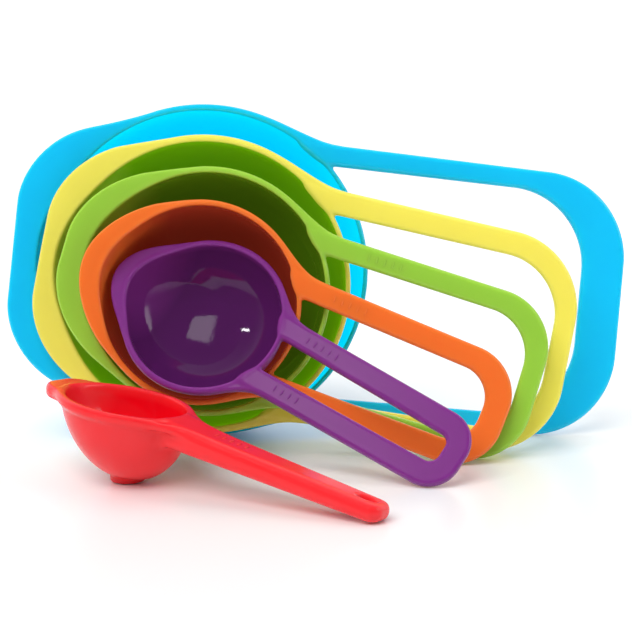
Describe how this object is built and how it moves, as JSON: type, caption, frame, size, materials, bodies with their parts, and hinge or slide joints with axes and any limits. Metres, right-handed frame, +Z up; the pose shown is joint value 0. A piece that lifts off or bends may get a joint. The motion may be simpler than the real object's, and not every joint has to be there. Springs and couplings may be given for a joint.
{
  "type": "measuring cup set",
  "caption": "Nesting plastic measuring cups with open loop handles, fanned out and standing on edge, with a small scoop in front.",
  "frame": {"origin": "the middle of the set's footprint, on the table the set stands on", "axes": "+Z up; +X along the set's longest side, from the pouring wings to the handle ends; the mouths face -Y"},
  "size_m": [0.1758, 0.1476, 0.0943],
  "materials": {
    "blue_plastic": "moulded, slightly translucent, semi-gloss",
    "yellow_plastic": "moulded, slightly translucent, semi-gloss",
    "green_plastic": "moulded, slightly translucent, semi-gloss",
    "orange_plastic": "moulded, slightly translucent, semi-gloss",
    "purple_plastic": "moulded, slightly translucent, semi-gloss",
    "red_plastic": "moulded, slightly translucent, semi-gloss"
  },
  "bodies": {
    "one_cup": {"one_cup_measure": "blue_plastic"},
    "half_cup": {"half_cup_measure": "yellow_plastic"},
    "third_cup": {"third_cup_measure": "green_plastic"},
    "quarter_cup": {"quarter_cup_measure": "orange_plastic"},
    "tablespoon": {"tablespoon_measure": "purple_plastic"},
    "scoop": {"half_tablespoon_scoop": "red_plastic"}
  },
  "joints": [
    {"name": "half_cup_out_of_one_cup", "type": "slide", "parent": "one_cup", "child": "half_cup", "axis": [0.0993, -0.9776, 0.1857], "range_m": [0, 0.06]},
    {"name": "third_cup_out_of_half_cup", "type": "slide", "parent": "half_cup", "child": "third_cup", "axis": [-0.0277, -0.9901, 0.1374], "range_m": [0, 0.05]},
    {"name": "quarter_cup_out_of_third_cup", "type": "slide", "parent": "third_cup", "child": "quarter_cup", "axis": [-0.0568, -0.9852, 0.1616], "range_m": [0, 0.048]},
    {"name": "tablespoon_out_of_quarter_cup", "type": "slide", "parent": "quarter_cup", "child": "tablespoon", "axis": [-0.0306, -0.9739, 0.225], "range_m": [0, 0.04]},
    {"name": "scoop_lift", "type": "slide", "parent": "tablespoon", "child": "scoop", "axis": [0, -0.8, 0.6], "range_m": [0, 0.06]}
  ]
}
